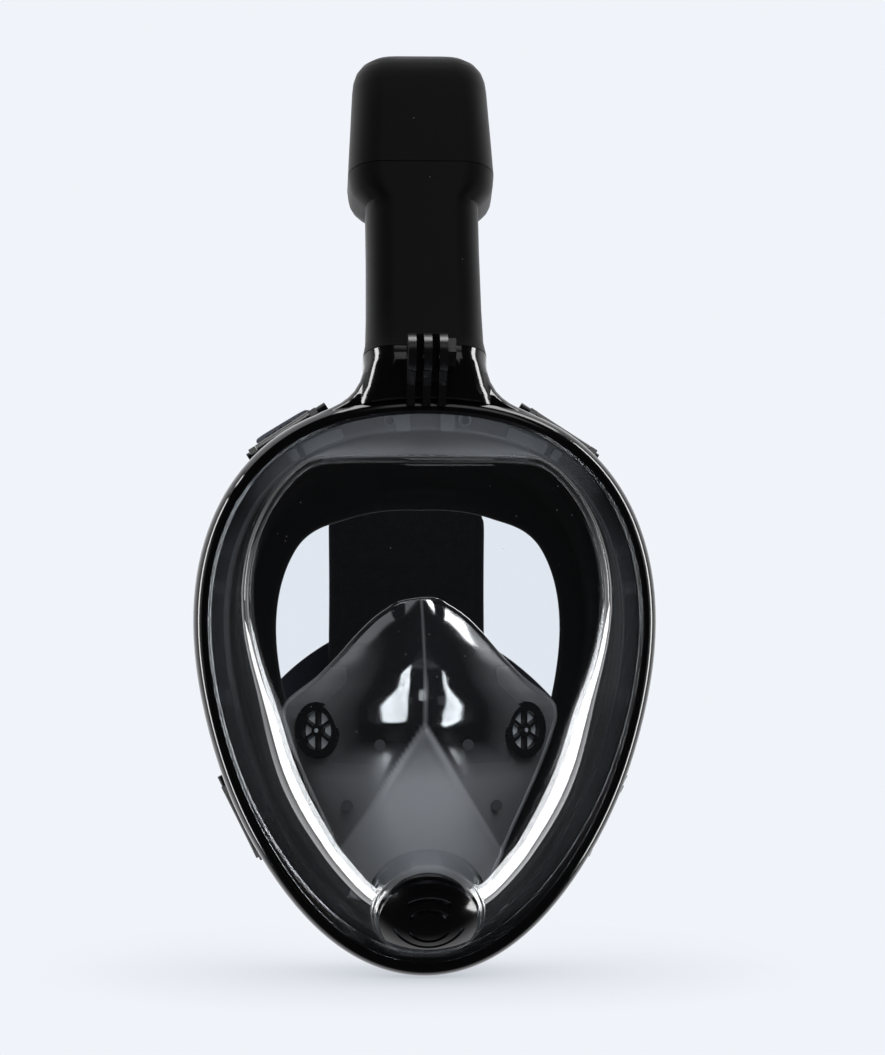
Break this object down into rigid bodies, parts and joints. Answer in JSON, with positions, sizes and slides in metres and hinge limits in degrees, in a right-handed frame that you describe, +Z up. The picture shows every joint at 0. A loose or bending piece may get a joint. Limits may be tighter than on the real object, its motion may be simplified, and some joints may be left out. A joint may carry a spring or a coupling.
{
  "type": "full face snorkel",
  "caption": "Full face snorkel mask: clear domed lens in a glossy black oval frame, silicone face skirt and nose pocket, chin purge valve, strap clips and a leaned-back dry-top breathing tube.",
  "frame": {"origin": "centre of the frame outline in the plane of the lens seat, 113.6 mm above the chin edge of the frame", "axes": "+Z up, the lens faces -Y, the wearer's face is on the +Y side, +X is to the right when looking at the lens"},
  "size_m": [0.1816, 0.2138, 0.3665],
  "materials": {
    "clear_lens": "clear moulded polycarbonate, polished",
    "clear_plastic": "clear moulded plastic",
    "black_gloss": "glossy black moulded plastic",
    "black_satin": "satin black moulded plastic",
    "black_silicone": "soft black silicone, matt where it seals",
    "smoke_silicone": "smoke-grey translucent silicone, glossy",
    "valve_silicone": "thin milky silicone",
    "webbing": "knitted elastic webbing, blue-black",
    "pad_fabric": "woven nylon over thin foam",
    "steel": "stainless steel",
    "float_plastic": "light foamed plastic"
  },
  "bodies": {
    "mask": {"lens": "clear_lens", "front_frame": "black_gloss", "retaining_ring": "clear_plastic", "rear_frame": "black_satin", "face_skirt": "black_silicone", "nose_pocket": "smoke_silicone", "pocket_studs": "black_gloss", "intake_valve_seat_left": "black_satin", "intake_valve_seat_right": "black_satin", "chin_valve_seat": "black_satin", "chin_valve_gasket": "black_silicone", "chin_valve_cap": "black_gloss", "camera_mount": "black_gloss", "camera_mount_nut": "steel", "socket_cover": "black_satin", "cover_screws": "steel", "clip_pins": "black_satin", "strap_upper_left": "webbing", "strap_upper_right": "webbing", "strap_lower_left": "webbing", "strap_lower_right": "webbing", "strap_back_pad": "pad_fabric"},
    "snorkel": {"tube_shell": "black_satin", "tube_gasket": "black_silicone", "inhale_duct": "black_satin", "float_chamber_cap": "black_satin", "head_top_plate": "black_satin", "valve_cage": "black_satin", "release_spring": "steel"},
    "float": {"float": "float_plastic", "float_seal": "valve_silicone"},
    "release_button": {"release_button": "black_gloss"},
    "exhale_flap_left": {"exhale_flap_left": "valve_silicone"},
    "exhale_flap_right": {"exhale_flap_right": "valve_silicone"},
    "intake_flap_left": {"intake_flap_left": "valve_silicone"},
    "intake_flap_right": {"intake_flap_right": "valve_silicone"},
    "chin_flap": {"chin_flap": "valve_silicone"},
    "clip_upper_left": {"strap_clip_upper_left": "black_satin", "strap_loop_upper_left": "webbing"},
    "clip_upper_right": {"strap_clip_upper_right": "black_satin", "strap_loop_upper_right": "webbing"},
    "clip_lower_left": {"strap_clip_lower_left": "black_satin", "strap_loop_lower_left": "webbing"},
    "clip_lower_right": {"strap_clip_lower_right": "black_satin", "strap_loop_lower_right": "webbing"}
  },
  "joints": [
    {"name": "snorkel_pull", "type": "slide", "parent": "mask", "child": "snorkel", "axis": [0, 0.3746, 0.9272], "range_m": [0, 0.035]},
    {"name": "float_rise", "type": "slide", "parent": "snorkel", "child": "float", "axis": [0, 0.3746, 0.9272], "range_m": [0, 0.0062]},
    {"name": "release_press", "type": "slide", "parent": "snorkel", "child": "release_button", "axis": [0, -0.9272, 0.3746], "range_m": [0, 0.0022], "stiffness_N_per_m": 900, "deforming": ["release_spring"]},
    {"name": "exhale_flap_left_lift", "type": "slide", "parent": "mask", "child": "exhale_flap_left", "axis": [0, 0, 1], "range_m": [0, 0.0015]},
    {"name": "exhale_flap_right_lift", "type": "slide", "parent": "mask", "child": "exhale_flap_right", "axis": [0, 0, 1], "range_m": [0, 0.0015]},
    {"name": "chin_flap_open", "type": "slide", "parent": "mask", "child": "chin_flap", "axis": [0, -0.8192, -0.5736], "range_m": [0, 0.0013]},
    {"name": "intake_flap_left_open", "type": "slide", "parent": "mask", "child": "intake_flap_left", "axis": [0.6691, 0.7431, 0], "range_m": [0, 0.0012]},
    {"name": "intake_flap_right_open", "type": "slide", "parent": "mask", "child": "intake_flap_right", "axis": [-0.6691, 0.7431, 0], "range_m": [0, 0.0012]},
    {"name": "clip_upper_left_swing", "type": "hinge", "parent": "mask", "child": "clip_upper_left", "pos_m": [-0.05439, 0.016, 0.09834], "axis": [0.8404, 0, 0.5419], "range_deg": [-8, 35]},
    {"name": "clip_upper_right_swing", "type": "hinge", "parent": "mask", "child": "clip_upper_right", "pos_m": [0.05439, 0.016, 0.09834], "axis": [0.8404, 0, -0.5419], "range_deg": [-8, 35]},
    {"name": "clip_lower_left_swing", "type": "hinge", "parent": "mask", "child": "clip_lower_left", "pos_m": [-0.06999, 0.016, -0.05311], "axis": [-0.4433, 0, 0.8964], "range_deg": [-8, 35]},
    {"name": "clip_lower_right_swing", "type": "hinge", "parent": "mask", "child": "clip_lower_right", "pos_m": [0.06999, 0.016, -0.05311], "axis": [-0.4433, 0, -0.8964], "range_deg": [-8, 35]}
  ]
}
